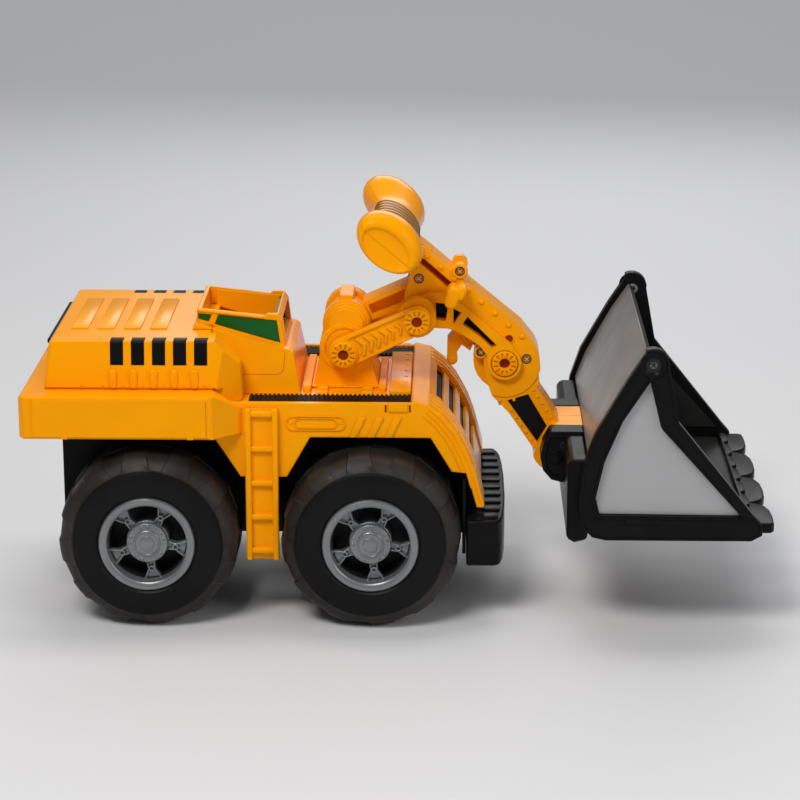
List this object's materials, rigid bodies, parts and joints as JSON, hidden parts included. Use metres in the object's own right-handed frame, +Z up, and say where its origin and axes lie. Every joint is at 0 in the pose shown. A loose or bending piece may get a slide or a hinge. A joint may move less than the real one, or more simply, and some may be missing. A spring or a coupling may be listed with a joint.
{
  "type": "toy front loader",
  "caption": "Toy front loader with free-rolling wheels, a jointed lift boom, a T-shaped squeeze grip and a tipping scoop bucket.",
  "frame": {"origin": "middle of the whole object's footprint, on the ground under the wheels", "axes": "+X forward towards the bucket, +Y to the toy's left, +Z up"},
  "size_m": [0.48, 0.215, 0.2672],
  "materials": {
    "yellow": "glossy orange-yellow moulded plastic",
    "black": "satin black moulded plastic",
    "tyre": "dark grey soft tyre",
    "grey": "silver-grey moulded plastic",
    "green": "green tinted glazing",
    "steel": "plain steel"
  },
  "bodies": {
    "truck": {"chassis": "black", "front_bumper": "black", "body_shell": "yellow", "hood_grille": "black", "tread_strip_right": "black", "tread_strip_left": "black", "ladder_right": "yellow", "ladder_left": "yellow", "engine_cover": "yellow", "engine_liner": "black", "cab_shell": "yellow", "cab_glazing": "green", "pedestal": "yellow", "axle_front": "steel", "axle_rear": "steel"},
    "wheel_front_right": {"tyre_front_right": "tyre", "rim_front_right": "grey", "hub_cap_front_right": "grey"},
    "wheel_front_left": {"tyre_front_left": "tyre", "rim_front_left": "grey", "hub_cap_front_left": "grey"},
    "wheel_rear_right": {"tyre_rear_right": "tyre", "rim_rear_right": "grey", "hub_cap_rear_right": "grey"},
    "wheel_rear_left": {"tyre_rear_left": "tyre", "rim_rear_left": "grey", "hub_cap_rear_left": "grey"},
    "arm": {"centre_arm": "yellow", "arm_pin": "steel"},
    "side_link_right": {"side_link_right": "yellow", "lift_pin_right": "yellow", "link_pin_right": "yellow"},
    "side_link_left": {"side_link_left": "yellow", "lift_pin_left": "yellow", "link_pin_left": "yellow"},
    "boom": {"boom_right": "yellow", "boom_left": "yellow", "boom_core": "black", "level_pin": "steel", "handle_upper": "yellow", "handle_lower": "yellow", "hose_fitting": "yellow", "elbow_pin_right": "yellow", "elbow_pin_left": "yellow"},
    "trigger": {"trigger_slider": "yellow"},
    "stick": {"stick_right": "yellow", "stick_left": "yellow", "stick_core": "black", "bucket_pin": "steel", "return_spring": "steel"},
    "rod": {"stick_rod": "steel"},
    "bucket": {"bucket_frame_right": "black", "bucket_frame_left": "black", "bucket_panel_right": "grey", "bucket_panel_left": "grey", "bucket_shell": "grey", "bucket_lip": "black", "bucket_mount": "black"}
  },
  "joints": [
    {"name": "wheel_front_right_spin", "type": "hinge", "parent": "truck", "child": "wheel_front_right", "pos_m": [-0.017, 0, 0.058], "axis": [0, 1, 0], "continuous": true},
    {"name": "wheel_front_left_spin", "type": "hinge", "parent": "truck", "child": "wheel_front_left", "pos_m": [-0.017, 0, 0.058], "axis": [0, 1, 0], "continuous": true},
    {"name": "wheel_rear_right_spin", "type": "hinge", "parent": "truck", "child": "wheel_rear_right", "pos_m": [-0.16, 0, 0.058], "axis": [0, 1, 0], "continuous": true},
    {"name": "wheel_rear_left_spin", "type": "hinge", "parent": "truck", "child": "wheel_rear_left", "pos_m": [-0.16, 0, 0.058], "axis": [0, 1, 0], "continuous": true},
    {"name": "arm_lift", "type": "hinge", "parent": "truck", "child": "arm", "pos_m": [-0.0345, 0, 0.1845], "axis": [0, -1, 0], "range_deg": [-25, 20]},
    {"name": "boom_level", "type": "hinge", "parent": "arm", "child": "boom", "pos_m": [0.0132, 0, 0.2068], "axis": [0, -1, 0], "range_deg": [-20, 25]},
    {"name": "side_link_right_lift", "type": "hinge", "parent": "truck", "child": "side_link_right", "pos_m": [-0.0361, 0, 0.1677], "axis": [0, -1, 0], "range_deg": [-25, 20]},
    {"name": "side_link_left_lift", "type": "hinge", "parent": "truck", "child": "side_link_left", "pos_m": [-0.0361, 0, 0.1677], "axis": [0, -1, 0], "range_deg": [-25, 20]},
    {"name": "elbow", "type": "hinge", "parent": "boom", "child": "stick", "pos_m": [0.0691, 0, 0.1572], "axis": [0, -1, 0], "range_deg": [-5, 30]},
    {"name": "bucket_dump", "type": "hinge", "parent": "stick", "child": "bucket", "pos_m": [0.103, 0, 0.1], "axis": [0, 1, 0], "range_deg": [0, 35]},
    {"name": "trigger_slide", "type": "slide", "parent": "boom", "child": "trigger", "axis": [-0.7474, 0, 0.6644], "range_m": [0, 0.016]},
    {"name": "stick_rod_slide", "type": "slide", "parent": "stick", "child": "rod", "axis": [-0.5549, 0, 0.8319], "range_m": [0, 0.006]}
  ],
  "couplings": [
    {"joint": "boom_level", "follows": "arm_lift", "ratio": -1},
    {"joint": "side_link_right_lift", "follows": "arm_lift", "ratio": 1},
    {"joint": "side_link_left_lift", "follows": "arm_lift", "ratio": 1},
    {"joint": "trigger_slide", "follows": "bucket_dump", "m_per_rad": 0.026},
    {"joint": "stick_rod_slide", "follows": "bucket_dump", "m_per_rad": 0.0095}
  ]
}
